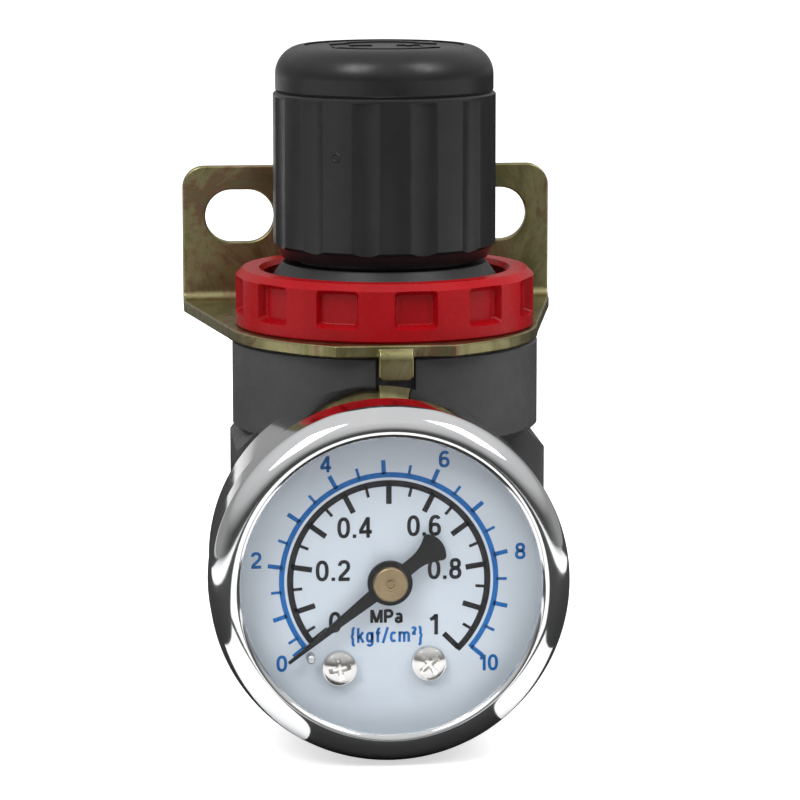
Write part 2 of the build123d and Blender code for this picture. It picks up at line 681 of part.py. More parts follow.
def gauge_bezel():
    """Chromed ring rolled over the lens and pressed onto the case."""
    centre_r = BEZEL_R - BEZEL_ROLL
    centre_w = BEZEL_FRONT - BEZEL_ROLL
    lip_r = centre_r - BEZEL_OPENING_R
    lip_w = BEZEL_FRONT - lip_r
    inner_roll = BEZEL_ROLL - BEZEL_WALL
    inner_lip = lip_r - BEZEL_WALL
    half = cos(pi / 4)
    skirt = 46.0

    def at(radius, height):
        return (radius, 0, height)

    outer_side = at(BEZEL_R, centre_w)
    front = at(centre_r, BEZEL_FRONT)
    lip_edge = at(BEZEL_OPENING_R, lip_w)
    lip_inside = at(centre_r - inner_lip, lip_w)
    inside_front = at(centre_r, BEZEL_FRONT - BEZEL_WALL)
    inner_side = at(centre_r + inner_roll, centre_w)
    outline = [
        Line(at(BEZEL_R, skirt + 0.4), outer_side),
        ThreePointArc(
            outer_side, at(centre_r + BEZEL_ROLL * half, centre_w + BEZEL_ROLL * half), front
        ),
        ThreePointArc(front, at(centre_r - lip_r * half, lip_w + lip_r * half), lip_edge),
        Line(lip_edge, lip_inside),
        ThreePointArc(
            lip_inside, at(centre_r - inner_lip * half, lip_w + inner_lip * half), inside_front
        ),
        ThreePointArc(
            inside_front,
            at(centre_r + inner_roll * half, centre_w + inner_roll * half),
            inner_side,
        ),
        Line(inner_side, at(centre_r + inner_roll, skirt)),
        Line(at(centre_r + inner_roll, skirt), at(BEZEL_R - 0.2, skirt)),
        Line(at(BEZEL_R - 0.2, skirt), at(BEZEL_R, skirt + 0.4)),
    ]
    return revolve(make_face(outline), Axis.Z)


def gauge_lens():
    return chamfer(disc(19.3, LENS_BACK, LENS_BACK + LENS_T - CONTACT).edges(), 0.1)


def gauge_gasket():
    return ring(20.4, 18.6, CASE_FRONT + CONTACT, LENS_BACK - CONTACT)


def gauge_dial():
    face = disc(DIAL_R, DIAL_FRONT - DIAL_T, DIAL_FRONT) - disc(1.3, DIAL_FRONT - 2, DIAL_FRONT + 1)
    for x, y in DIAL_SCREWS:
        face -= disc(1.1, DIAL_FRONT - 2, DIAL_FRONT + 1, x, y)
    pin = polar(STOP_PIN_R, STOP_PIN_ANGLE)
    return face - disc(0.52, DIAL_FRONT - 2, DIAL_FRONT + 1, pin.X, pin.Y)


def gauge_stop_pin():
    pin = polar(STOP_PIN_R, STOP_PIN_ANGLE)
    shank = disc(0.5, DIAL_FRONT - DIAL_T - 0.6, DIAL_FRONT + 1.9, pin.X, pin.Y)
    return chamfer(shank.edges().group_by(Axis.Z)[-1], 0.15)


def gauge_dial_screws():
    """Two cross-recess pan-head screws."""
    head_r = 2.1
    head_low = DIAL_FRONT + CONTACT
    head_high = DIAL_FRONT + 1.4
    head = disc(head_r, head_low, head_high)
    head = fillet(head.edges().group_by(Axis.Z)[-1], 0.9)
    cross = block(-1.35, 1.35, -0.32, 0.32, head_high - 0.75, head_high + 1)
    cross += Rot(0, 0, 90) * cross
    screw = head - cross + disc(0.95, DIAL_FRONT - 3.2, head_low + 0.1)
    turn = (12, 38)
    return Compound([
        Pos(x, y, 0) * Rot(0, 0, angle) * screw for (x, y), angle in zip(DIAL_SCREWS, turn)
    ])


def gauge_dial_posts():
    low = FRONT_PLATE + PLATE_T + CONTACT
    high = DIAL_FRONT - DIAL_T - CONTACT
    return Compound([ring(1.8, 1.0, low, high, x, y) for x, y in DIAL_SCREWS])


def gauge_case_screws():
    head = disc(2.2, CASE_BACK - 1.3, CASE_BACK - CONTACT)
    head = fillet(head.edges().group_by(Axis.Z)[0], 0.5)
    slot = block(-3, 3, -0.3, 0.3, CASE_BACK - 2, CASE_BACK - 0.75)
    screw = head - slot + disc(1.2, CASE_BACK - 0.1, CASE_BACK + 2.0)
    return Compound([Pos(side * CASE_SCREW_X, 0, 0) * screw for side in (-1, 1)])


# ---------------------------------------------------------------- gauge stem and Bourdon tube
def tube_section(growth=0.0):
    """Flattened oval of the Bourdon tube, standing in the XZ plane."""
    oval = SlotOverall(TUBE_WIDE + growth, TUBE_FLAT + growth, rotation=90)
    return Plane.XZ * Pos(TUBE_R, TUBE_W) * oval


def tube_arc(section, start, end):
    """The section carried round the gauge axis between two angles."""
    return Rot(0, 0, start) * revolve(section, Axis.Z, revolution_arc=end - start)


def gauge_bourdon_tube():
    wall = tube_arc(tube_section(), TUBE_END, TUBE_START)
    return wall - tube_arc(tube_section(-0.5), TUBE_END - 1, TUBE_START + 1)


def tip_pin_position():
    tail = PIVOT + polar(TAIL_R, SECTOR_PIVOT_ANGLE - SECTOR_SWING / 2)
    return tail + polar(LINK_LENGTH, SECTOR_PIVOT_ANGLE + 90)


def gauge_tube_tip():
    """Soldered end of the Bourdon tube, with the pin for the link."""
    pin = tip_pin_position()
    plug = tube_arc(tube_section(), TUBE_END - 8.0, TUBE_END - 0.1)
    plug += disc(0.6, TUBE_W + 2.0, 42.5, pin.X, pin.Y)
    return plug + disc(0.35, 42.0, 43.5, pin.X, pin.Y)


def gauge_stem():
    thread_r = GAUGE_PORT_R - SLIDE_FIT
    stem = turned([
        (0, 10.5),
        (thread_r - 0.6, 10.5),
        (thread_r, 11.1),
        (thread_r, BOSS_Y - 1.0),
        (thread_r - 0.6, BOSS_Y - 0.6),
        (thread_r - 0.6, BOSS_Y + 0.2),
        (0, BOSS_Y + 0.2),
    ])
    square = extrude(Plane.XY.offset(BOSS_Y + 0.1) * Rectangle(STEM_AF, STEM_AF), 9.0)
    rounding = disc(7.7, BOSS_Y + 0.1, BOSS_Y + 9.1)
    stem += square & chamfer(rounding.edges(), 0.6)
    stem += disc(5.8, BOSS_Y + 9.0, CASE_BACK - CONTACT)
    stem += disc(4.9, BOSS_Y + 9.0, CASE_BACK + 1.0)
    flange_low = CASE_BACK + CASE_WALL + CONTACT
    stem += block(-11.0, 11.0, -5.0, 5.0, flange_low, 32.2)
    stem += block(-3.5, 3.5, -16.0, 3.5, flange_low, REAR_PLATE - CONTACT)
    stem -= tube_arc(tube_section(0.06), 240.0, TUBE_START + 0.2)
    for side in (-1, 1):
        stem -= disc(1.25, CASE_BACK, 33.0, side * CASE_SCREW_X, 0)
    for x, y in MOVEMENT_SCREWS:
        stem -= disc(0.8, 36.2, REAR_PLATE + 1, x, y)
    stem -= disc(1.0, 10.0, TUBE_W)
    stem -= rod_along_y(0.8, -TUBE_R, 0.5, 0, TUBE_W)
    return stem


# ---------------------------------------------------------------- gauge movement
def plate_circles():
    return [(x, y, 2.0) for x, y in PILLARS] + [(PIVOT.X, PIVOT.Y, 2.0)]


def bearing_holes(plate, low):
    plate -= disc(0.45, low - 1, low + 2)
    plate -= disc(0.45, low - 1, low + 2, PIVOT.X, PIVOT.Y)
    for x, y in PILLARS:
        plate -= disc(0.72, low - 1, low + 2, x, y)
    return plate


def gauge_rear_plate():
    plate = bearing_holes(hull_plate(plate_circles(), REAR_PLATE, REAR_PLATE + PLATE_T), REAR_PLATE)
    for x, y in MOVEMENT_SCREWS:
        plate -= disc(0.85, REAR_PLATE - 1, REAR_PLATE + 2, x, y)
    return plate


def gauge_front_plate():
    circles = plate_circles() + [(x, y, 2.2) for x, y in DIAL_SCREWS]
    plate = bearing_holes(hull_plate(circles, FRONT_PLATE, FRONT_PLATE + PLATE_T), FRONT_PLATE)
    for x, y in DIAL_SCREWS:
        plate -= disc(1.0, FRONT_PLATE - 1, FRONT_PLATE + 2, x, y)
    return plate


def gauge_plate_pillars():
    """Shouldered posts riveted through both plates."""
    low = REAR_PLATE + PLATE_T + CONTACT
    high = FRONT_PLATE - CONTACT
    pillars = []
    for x, y in PILLARS:
        pillar = disc(1.3, low, high, x, y)
        pillars.append(pillar + disc(0.7, REAR_PLATE, FRONT_PLATE + PLATE_T, x, y))
    return Compound(pillars)


def gauge_movement_screws():
    low = REAR_PLATE + PLATE_T + CONTACT
    head = disc(1.3, low, low + 0.9) - block(-2, 2, -0.2, 0.2, low + 0.4, low + 2)
    screw = head + disc(0.75, 36.4, low + 0.1)
    return Compound([Pos(x, y, 0) * screw for x, y in MOVEMENT_SCREWS])


def toothed_outline(pitch_r, tooth_pitch, centres):
    """Polar outline points of the teeth at the given angles."""
    points = []
    for centre in centres:
        for radius, offset in (
            (pitch_r - 1.2 * GEAR_MODULE, -0.31),
            (pitch_r + GEAR_MODULE, -0.10),
            (pitch_r + GEAR_MODULE, 0.10),
            (pitch_r - 1.2 * GEAR_MODULE, 0.31),
        ):
            points.append(polar(radius, centre + offset * tooth_pitch))
    return points


def gauge_arbor_pinion():
    """Pointer arbor with its pinion and the collet of the hairspring."""
    tooth_pitch = 360 / PINION_TEETH
    centres = [SECTOR_PIVOT_ANGLE + tooth_pitch * number for number in range(PINION_TEETH)]
    outline = toothed_outline(GEAR_MODULE * PINION_TEETH / 2, tooth_pitch, centres)
    gear = extrude(Plane.XY.offset(41.3) * make_face(Polyline(*outline, close=True)), 1.7)
    return gear + disc(0.4, REAR_PLATE + 0.1, 51.9) + disc(0.9, 43.3, 44.1)


def gauge_sector():
    pitch_r = GEAR_MODULE * SECTOR_TEETH / 2
    tooth_pitch = 360 / SECTOR_TEETH
    first = SECTOR_PIVOT_ANGLE + 180 + tooth_pitch / 2
    teeth = 10
    centres = [first - tooth_pitch * number for number in reversed(range(teeth))]
    outline = toothed_outline(pitch_r, tooth_pitch, centres)
    start = centres[0] - tooth_pitch
    end = centres[-1] + tooth_pitch
    root = pitch_r - 1.2 * GEAR_MODULE
    rim = [polar(0, 0), polar(root, start)] + outline + [polar(root, end)]
    low = 41.8
    thick = 0.8
    sector = extrude(Plane.XY.offset(low) * make_face(Polyline(*rim, close=True)), thick)
    window = [
        polar(2.9, start + 14),
        polar(5.4, start + 7),
        polar(5.7, (start + end) / 2),
        polar(5.4, end - 7),
        polar(2.9, end - 14),
    ]
    sector -= extrude(Plane.XY.offset(low - 1) * make_face(Polyline(*window, close=True)), thick + 2)
    tail_angle = SECTOR_PIVOT_ANGLE - SECTOR_SWING / 2
    tail = Rot(0, 0, tail_angle) * block(0, TAIL_R, -0.8, 0.8, low, low + thick)
    end_of_tail = polar(TAIL_R, tail_angle)
    sector += tail + disc(0.95, low, low + thick, end_of_tail.X, end_of_tail.Y)
    sector += disc(1.4, low - 0.3, low + thick + 0.3)
    sector -= disc(0.38, low - 1, low + thick + 1, end_of_tail.X, end_of_tail.Y)
    sector -= disc(0.62, low - 1, low + thick + 1)
    return Pos(PIVOT.X, PIVOT.Y, 0) * sector


def gauge_sector_arbor():
    arbor = disc(0.6, REAR_PLATE + PLATE_T + 0.1, FRONT_PLATE - 0.1)
    arbor += disc(0.4, REAR_PLATE + 0.1, FRONT_PLATE + PLATE_T - 0.1)
    return Pos(PIVOT.X, PIVOT.Y, 0) * arbor


def gauge_link_pin():
    pin = PIVOT + polar(TAIL_R, SECTOR_PIVOT_ANGLE - SECTOR_SWING / 2)
    return disc(0.35, 41.7, 43.3, pin.X, pin.Y) + disc(0.6, 43.2, 43.5, pin.X, pin.Y)


def gauge_link():
    """Link from the sector tail to the tube tip, slotted at the tip."""
    stroke = 2 * TAIL_R * sin(radians(SECTOR_SWING / 2))
    low = 42.7
    high = 43.15
    bar = block(0, LINK_LENGTH, -1.05, 1.05, low, high)
    bar += disc(1.05, low, high) + disc(1.05, low, high, LINK_LENGTH)
    bar -= disc(0.4, low - 1, high + 1)
    slot_half = 0.62
    slot_start = LINK_LENGTH - stroke - 0.2
    slot = block(slot_start, LINK_LENGTH, -slot_half, slot_half, low - 1, high + 1)
    slot += disc(slot_half, low - 1, high + 1, LINK_LENGTH) + disc(slot_half, low - 1, high + 1, slot_start)
    tail = PIVOT + polar(TAIL_R, SECTOR_PIVOT_ANGLE - SECTOR_SWING / 2)
    return Pos(tail.X, tail.Y, 0) * Rot(0, 0, SECTOR_PIVOT_ANGLE + 90) * (bar - slot)


def gauge_hairspring():
    """Flat spiral of half circles, pinned to a stud in the front plate."""
    start_r = 1.15
    growth = 0.38
    half_turns = 8
    low = 43.5
    arcs = []
    radius = start_r
    for number in range(half_turns):
        centre = growth * (number % 2)
        side = 1 - 2 * (number % 2)
        arcs.append(
            ThreePointArc(
                (centre + side * radius, 0, low),
                (centre, side * radius, low),
                (centre - side * radius, 0, low),
            )
        )
        radius += growth
    path = Wire(arcs)
    section = Plane(origin=path @ 0, z_dir=path % 0, x_dir=(0, 0, 1)) * Rectangle(0.4, 0.12)
    stud_end = path @ 1
    return sweep(section, path) + disc(0.3, low - 0.3, FRONT_PLATE - CONTACT, stud_end.X, stud_end.Y)


# ---------------------------------------------------------------- pointer
def gauge_pointer():
    """Tapered blade with a paddle-shaped counterweight behind the hub."""
    hub_r = 2.7
    root = (2.0, 0.84)
    middle = (9.2, 0.42)
    tip = (15.4, 0.17)
    neck = (-3.4, 0.84)
    flare = (-5.5, 1.2)
    corner = (-6.85, 2.05)
    paddle_end = (-7.85, 0)

    def below(point):
        return (point[0], -point[1])

    outline = [
        Line(below(tip), tip),
        Line(tip, middle),
        Line(middle, root),
        Line(root, neck),
        ThreePointArc(neck, flare, corner),
        ThreePointArc(corner, paddle_end, below(corner)),
        ThreePointArc(below(corner), below(flare), below(neck)),
        Line(below(neck), below(root)),
        Line(below(root), below(middle)),
        Line(below(middle), below(tip)),
    ]
    blade = extrude(Plane.XY.offset(POINTER_BACK) * make_face(outline), POINTER_T)
    paddle_corners = [
        edge
        for edge in blade.edges().filter_by(Axis.Z)
        if abs(edge.center().X - corner[0]) < 0.1
    ]
    blade = fillet(paddle_corners, 0.55)
    blade += disc(hub_r, POINTER_BACK, POINTER_BACK + 0.5)
    return Rot(0, 0, POINTER_REST) * (blade - disc(1.2, POINTER_BACK - 1, POINTER_BACK + 1))


def gauge_pointer_hub():
    flange = disc(2.1, POINTER_BACK + 0.52, POINTER_BACK + 1.5)
    flange = fillet(flange.edges().group_by(Axis.Z)[-1], 0.35)
    bush = flange + disc(1.16, POINTER_BACK - 0.3, POINTER_BACK + 0.6)
    bush -= ring(0.75, 0.55, POINTER_BACK + 1.38, POINTER_BACK + 1.6)
    return bush - disc(0.42, POINTER_BACK - 1, POINTER_BACK + 2)


REGULATOR_PIECES = [
    body_casting,
    mounting_bracket,
    panel_nut,
    bonnet,
    adjusting_screw,
    thrust_washer,
    screw_circlip,
    spring_nut,
    main_spring,
    lower_spring_seat,
    diaphragm,
    diaphragm_lower_disc,
    valve_poppet,
    valve_seal,
    valve_oring,
    valve_spring,
    bottom_plug,
    bottom_plug_oring,
    rear_port_plug,
    rear_plug_seal,
    knob,
    knob_top_plate,
]
GAUGE_PIECES = [
    gauge_case,
    gauge_bezel,
    gauge_lens,
    gauge_gasket,
    gauge_dial,
    gauge_stop_pin,
    gauge_dial_screws,
    gauge_dial_posts,
    gauge_case_screws,
    gauge_bourdon_tube,
    gauge_tube_tip,
    gauge_stem,
    gauge_rear_plate,
    gauge_front_plate,
    gauge_plate_pillars,
    gauge_movement_screws,
    gauge_arbor_pinion,
    gauge_sector,
    gauge_sector_arbor,
    gauge_link_pin,
    gauge_link,
    gauge_hairspring,
    gauge_pointer,
    gauge_pointer_hub,
]

for piece in REGULATOR_PIECES:
    save(piece.__name__, piece())
for piece in GAUGE_PIECES:
    save(piece.__name__, on_gauge(piece()))
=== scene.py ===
import json
from math import cos, hypot, pi, radians, sin

import bmesh
import bpy
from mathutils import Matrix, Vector


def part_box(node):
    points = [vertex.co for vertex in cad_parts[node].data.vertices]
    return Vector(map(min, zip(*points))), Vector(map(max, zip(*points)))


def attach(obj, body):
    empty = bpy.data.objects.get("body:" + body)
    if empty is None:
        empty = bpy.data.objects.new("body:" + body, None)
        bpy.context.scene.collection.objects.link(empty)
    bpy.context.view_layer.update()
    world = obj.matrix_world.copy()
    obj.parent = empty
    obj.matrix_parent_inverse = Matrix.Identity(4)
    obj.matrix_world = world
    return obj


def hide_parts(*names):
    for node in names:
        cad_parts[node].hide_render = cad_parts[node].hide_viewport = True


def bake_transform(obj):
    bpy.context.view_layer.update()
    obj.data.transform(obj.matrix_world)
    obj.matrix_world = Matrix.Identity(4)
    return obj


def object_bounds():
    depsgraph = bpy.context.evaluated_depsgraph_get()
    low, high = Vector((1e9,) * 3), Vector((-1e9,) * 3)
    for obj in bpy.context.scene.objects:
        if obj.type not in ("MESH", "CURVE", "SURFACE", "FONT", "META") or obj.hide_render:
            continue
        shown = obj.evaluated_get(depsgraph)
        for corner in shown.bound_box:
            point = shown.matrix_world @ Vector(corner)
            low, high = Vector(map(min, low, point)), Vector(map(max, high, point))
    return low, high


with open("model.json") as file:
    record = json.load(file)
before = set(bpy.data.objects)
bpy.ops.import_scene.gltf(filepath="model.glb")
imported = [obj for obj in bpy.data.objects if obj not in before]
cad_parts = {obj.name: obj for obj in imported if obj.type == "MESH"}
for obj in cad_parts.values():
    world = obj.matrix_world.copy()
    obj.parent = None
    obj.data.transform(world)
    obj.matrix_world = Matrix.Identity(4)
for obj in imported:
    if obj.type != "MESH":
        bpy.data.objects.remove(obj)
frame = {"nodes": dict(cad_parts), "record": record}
cad_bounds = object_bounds()

MM = 0.001


# ---------------------------------------------------------------- node helpers

def add_node(tree, kind, values=None, **settings):
    """One shader node. values sets or links its inputs: a socket links, a plain value is set."""
    node = tree.nodes.new(kind)
    for key, value in settings.items():
        setattr(node, key, value)
    for key, value in (values or {}).items():
        if isinstance(value, bpy.types.NodeSocket):
            tree.links.new(value, node.inputs[key])
        else:
            node.inputs[key].default_value = value
    return node


def principled(name, **sockets):
    """A new material with one Principled shader, its constants set on the shader's own sockets."""
    material = bpy.data.materials.new(name)
    material.use_nodes = True
    tree = material.node_tree
    shader = tree.nodes["Principled BSDF"]
    for key, value in sockets.items():
        shader.inputs[key.replace("_", " ")].default_value = value
    return material, tree, shader


def position(tree):
    """The place of a point on the piece, in metres, which moves with the piece."""
    return add_node(tree, "ShaderNodeTexCoord").outputs["Object"]


def noise(tree, where, scale, detail=3.0, roughness=0.5, distortion=0.0):
    """Soft random blotches, scale of them to a metre."""
    node = add_node(tree, "ShaderNodeTexNoise", {
        "Vector": where, "Scale": scale, "Detail": detail, "Roughness": roughness,
        "Distortion": distortion,
    })
    return node.outputs["Fac"]


def ramp(tree, value, *stops):
    """A colour ramp through (place, colour) stops. A stop's colour may be one grey number."""
    node = add_node(tree, "ShaderNodeValToRGB", {"Fac": value})
    elements = node.color_ramp.elements
    while len(elements) < len(stops):
        elements.new(0.5)
    for element, (place, colour) in zip(elements, stops):
        element.position = place
        element.color = (*colour, 1) if isinstance(colour, tuple) else (colour, colour, colour, 1)
    return node.outputs["Color"]


def spread(tree, value, low, high):
    """value, which lies about 0.5, stretched over low to high."""
    node = add_node(tree, "ShaderNodeMapRange", {
        "Value": value, "From Min": 0.3, "From Max": 0.7, "To Min": low, "To Max": high,
    })
    return node.outputs["Result"]


def bump(tree, height, distance, before=None):
    """A bump of that height in metres, on top of an earlier one."""
    values = {"Height": height, "Distance": distance, "Strength": 1.0}
    if before is not None:
        values["Normal"] = before
    return add_node(tree, "ShaderNodeBump", values).outputs["Normal"]


WAVES_PER_METRE = 90


def finish_material(name, dark, light, rough, patches=120, grain=2500, depth=0.000004,
                    waviness=0.0, **sockets):
    """Paint, plastic, rubber or metal: colour and gloss drift in patches over a fine grain.

    patches and grain are counts to a metre, depth and waviness heights in metres.
    """
    material, tree, shader = principled(name, **sockets)
    where = position(tree)
    drift = noise(tree, where, patches, 4.0, 0.6)
    tree.links.new(ramp(tree, drift, (0.3, dark), (0.7, light)), shader.inputs["Base Color"])
    gloss = noise(tree, where, patches * 4.5, 5.0, 0.7)
    tree.links.new(spread(tree, gloss, *rough), shader.inputs["Roughness"])
    surface = bump(tree, noise(tree, where, grain, 2.0, 0.5), depth)
    if waviness:
        surface = bump(tree, noise(tree, where, WAVES_PER_METRE, 1.0, 0.4), waviness, surface)
    tree.links.new(surface, shader.inputs["Normal"])
    return material


def zinc_material(name):
    """Yellow chromate on zinc: olive gold that drifts to green, red and bare silver."""
    material, tree, shader = principled(name, Metallic=1.0)
    where = position(tree)
    stretch = add_node(tree, "ShaderNodeMapping", {"Vector": where, "Scale": (1.0, 1.0, 0.55)})
    film = noise(tree, stretch.outputs["Vector"], 75, 8.0, 0.74, 1.2)
    colour = ramp(
        tree, film,
        (0.28, (0.16, 0.20, 0.11)), (0.40, (0.23, 0.21, 0.09)), (0.50, (0.36, 0.33, 0.17)),
        (0.58, (0.27, 0.17, 0.10)), (0.66, (0.24, 0.24, 0.12)), (0.76, (0.19, 0.23, 0.14)),
    )
    tree.links.new(colour, shader.inputs["Base Color"])
    gloss = noise(tree, where, 420, 6.0, 0.7)
    tree.links.new(spread(tree, gloss, 0.26, 0.46), shader.inputs["Roughness"])
    rolled = add_node(tree, "ShaderNodeMapping", {"Vector": where, "Scale": (1.0, 1.0, 0.12)})
    surface = bump(tree, noise(tree, rolled.outputs["Vector"], 1500, 3.0, 0.6), 0.000006)
    surface = bump(tree, noise(tree, where, 260, 3.0, 0.6), 0.00002, surface)
    tree.links.new(surface, shader.inputs["Normal"])
    return material


def lens_material(name):
    """Thin clear glass that lets the light straight through to the dial."""
    material, tree, shader = principled(
        name, Transmission_Weight=1.0, IOR=1.17, Roughness=0.0, Base_Color=(1.0, 1.0, 1.0, 1.0))
    where = position(tree)
    surface = bump(tree, noise(tree, where, 40, 1.0, 0.3), 0.0000005)
    tree.links.new(surface, shader.inputs["Normal"])
    path = add_node(tree, "ShaderNodeLightPath")
    clear = add_node(tree, "ShaderNodeBsdfTransparent", {"Color": (0.97, 0.98, 0.98, 1.0)})
    mixed = add_node(tree, "ShaderNodeMixShader", {
        0: path.outputs["Is Shadow Ray"], 1: shader.outputs["BSDF"], 2: clear.outputs["BSDF"],
    })
    tree.links.new(mixed.outputs["Shader"], tree.nodes["Material Output"].inputs["Surface"])
    return material


MATERIALS = {
    "cast_black": finish_material(
        "black_cast_paint", (0.045, 0.045, 0.047), (0.061, 0.061, 0.064), (0.40, 0.58),
        grain=1500, depth=0.00003, waviness=0.00003, Specular_IOR_Level=0.4),
    "yellow_zinc": zinc_material("yellow_zinc_plate"),
    "nut_red": finish_material(
        "red_nut_plastic", (0.27, 0.0016, 0.0042), (0.34, 0.0026, 0.0058), (0.24, 0.34),
        grain=900, depth=0.000003, waviness=0.00003, Specular_IOR_Level=0.15),
    "bonnet_black": finish_material(
        "black_bonnet_plastic", (0.008, 0.008, 0.009), (0.014, 0.014, 0.015), (0.36, 0.48)),
    "knob_black": finish_material(
        "black_knob_plastic", (0.0072, 0.0072, 0.0080), (0.0110, 0.0110, 0.0121), (0.27, 0.38),
        grain=3000, depth=0.000005, waviness=0.000015, Specular_IOR_Level=0.4),
    "steel": finish_material(
        "plain_steel", (0.42, 0.42, 0.43), (0.55, 0.55, 0.56), (0.28, 0.42), Metallic=1.0),
    "spring_steel": finish_material(
        "spring_steel_wire", (0.30, 0.30, 0.32), (0.44, 0.44, 0.46), (0.22, 0.36), Metallic=1.0),
    "brass": finish_material(
        "turned_brass", (0.22, 0.165, 0.095), (0.32, 0.245, 0.14), (0.34, 0.5), patches=700,
        Metallic=1.0),
    "rubber": finish_material(
        "nitrile_rubber", (0.012, 0.012, 0.012), (0.022, 0.022, 0.022), (0.55, 0.75),
        grain=4000, depth=0.000012),
    "gauge_chrome": finish_material(
        "bright_chrome", (0.76, 0.77, 0.78), (0.84, 0.84, 0.85), (0.05, 0.10),
        grain=900, depth=0.0000012, waviness=0.000008, Metallic=1.0),
    "screw_chrome": finish_material(
        "screw_chrome", (0.62, 0.61, 0.60), (0.78, 0.77, 0.75), (0.12, 0.24),
        grain=2500, depth=0.000005, Metallic=1.0),
    "lens_clear": lens_material("gauge_glass"),
    "dial_white": finish_material(
        "white_dial_enamel", (0.485, 0.54, 0.605), (0.52, 0.575, 0.635), (0.35, 0.45),
        patches=30, grain=3500, depth=0.000001, Specular_IOR_Level=0.3),
    "pointer_black": finish_material(
        "black_pointer_paint", (0.004, 0.004, 0.005), (0.008, 0.008, 0.009), (0.38, 0.50),
        Specular_IOR_Level=0.2),
}
INK_BLACK = finish_material(
    "black_dial_ink", (0.007, 0.007, 0.009), (0.013, 0.013, 0.016), (0.4, 0.5), patches=400,
    Specular_IOR_Level=0.2)
INK_BLUE = finish_material(
    "blue_dial_ink", (0.004, 0.095, 0.33), (0.008, 0.125, 0.39), (0.4, 0.5), patches=400,
    Specular_IOR_Level=0.2)


# ------------------------------------------------------------- CAD node looks

SLOTS = {part["node"]: part["material_slot"] for part in frame["record"]["subparts"]}
for node_name, slot_name in SLOTS.items():
    node_mesh = frame["nodes"][node_name].data
    node_mesh.materials.clear()
    node_mesh.materials.append(MATERIALS[slot_name])


# ------------------------------------------------------------- shared building

def new_piece(name, mesh, material, body):
    """A finished mesh as a piece that rides on a body."""
    piece = bpy.data.objects.new(name, mesh)
    bpy.context.scene.collection.objects.link(piece)
    mesh.materials.clear()
    mesh.materials.append(material)
    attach(piece, body)
    return piece


def shade(build, name, crease=35):
    """The finished mesh of build, smooth except at edges sharper than crease degrees."""
    bmesh.ops.recalc_face_normals(build, faces=build.faces)
    mesh = bpy.data.meshes.new(name)
    build.to_mesh(mesh)
    build.free()
    mesh.shade_smooth()
    mesh.set_sharp_from_angle(angle=radians(crease))
    return mesh


def bridge(build, one, two):
    """Faces all round between two rows with as many points each."""
    for i in range(len(one)):
        j = (i + 1) % len(one)
        build.faces.new((one[i], one[j], two[j], two[i]))


def add_bars(build, strokes, place, front, back):
    """Strokes as solid bars. place gives the point for two numbers in mm and a depth."""
    for left, right, closed in strokes:
        rows = []
        for near, far in zip(left, right):
            corners = (near, front), (far, front), (far, back), (near, back)
            rows.append([build.verts.new(place(*point, depth)) for point, depth in corners])
        for one, two in zip(rows, rows[1:]):
            bridge(build, one, two)
        if closed:
            bridge(build, rows[-1], rows[0])
        else:
            build.faces.new(rows[0])
            build.faces.new(rows[-1][::-1])


def stroke(points, width, closed=False):
    """The two edges of a line of even width drawn through points."""
    left, right = [], []
    last = len(points) - 1
    for i, (x, y) in enumerate(points):
        before = points[i - 1] if i or closed else points[i]
        after = points[(i + 1) % len(points)] if i < last or closed else points[i]
        run_x, run_y = after[0] - before[0], after[1] - before[1]
        half = width / 2 / hypot(run_x, run_y)
        left.append((x - run_y * half, y + run_x * half))
        right.append((x + run_y * half, y - run_x * half))
    return left, right, closed


def arc_points(centre, radius, start, end, steps):
    """Points of an arc, angles in degrees from the first axis towards the second."""
    turns = [radians(start + (end - start) * i / steps) for i in range(steps + 1)]
    return [(centre[0] + radius * cos(t), centre[1] + radius * sin(t)) for t in turns]


def gauge_turning(name, profile, segments=288):
    """A closed outline of (radius, forward) in mm turned about the gauge's axis."""
    build = bmesh.new()
    rings = []
    for i in range(segments):
        turn = 2 * pi * i / segments
        rings.append([
            build.verts.new((
                GAUGE_X + r * cos(turn) * MM, -forward * MM, GAUGE_Z + r * sin(turn) * MM))
            for r, forward in profile
        ])
    for i in range(segments):
        bridge(build, rings[i], rings[(i + 1) % segments])
    return shade(build, name)


# ------------------------------------------------------ gauge ring and case

GAUGE_LOW, GAUGE_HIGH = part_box("gauge_bezel")
GAUGE_X = (GAUGE_LOW.x + GAUGE_HIGH.x) / 2
GAUGE_Z = (GAUGE_LOW.z + GAUGE_HIGH.z) / 2
BEZEL_R = (GAUGE_HIGH.x - GAUGE_LOW.x) / 2 / MM
BEZEL_FRONT = -GAUGE_LOW.y / MM
ROLL, WALL, OPENING_R, SKIRT, EDGE = 2.9, 0.6, 17.8, 46.0, 0.12
lip = BEZEL_R - ROLL - OPENING_R
roll_centre = (BEZEL_R - ROLL, BEZEL_FRONT - ROLL)
lip_centre = (BEZEL_R - ROLL, BEZEL_FRONT - lip)
bezel_profile = (
    [(BEZEL_R - WALL, SKIRT), (BEZEL_R - EDGE, SKIRT), (BEZEL_R, SKIRT + EDGE)]
    + arc_points(roll_centre, ROLL, 0, 90, 24)
    + arc_points(lip_centre, lip, 98, 180, 10)
    + arc_points(lip_centre, lip - WALL, 180, 90, 6)
    + arc_points(roll_centre, ROLL - WALL, 88, 0, 20)
)
bezel = new_piece(
    "bezel_ring", gauge_turning("bezel_ring", bezel_profile), MATERIALS["gauge_chrome"],
    "housing")
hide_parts("gauge_bezel")

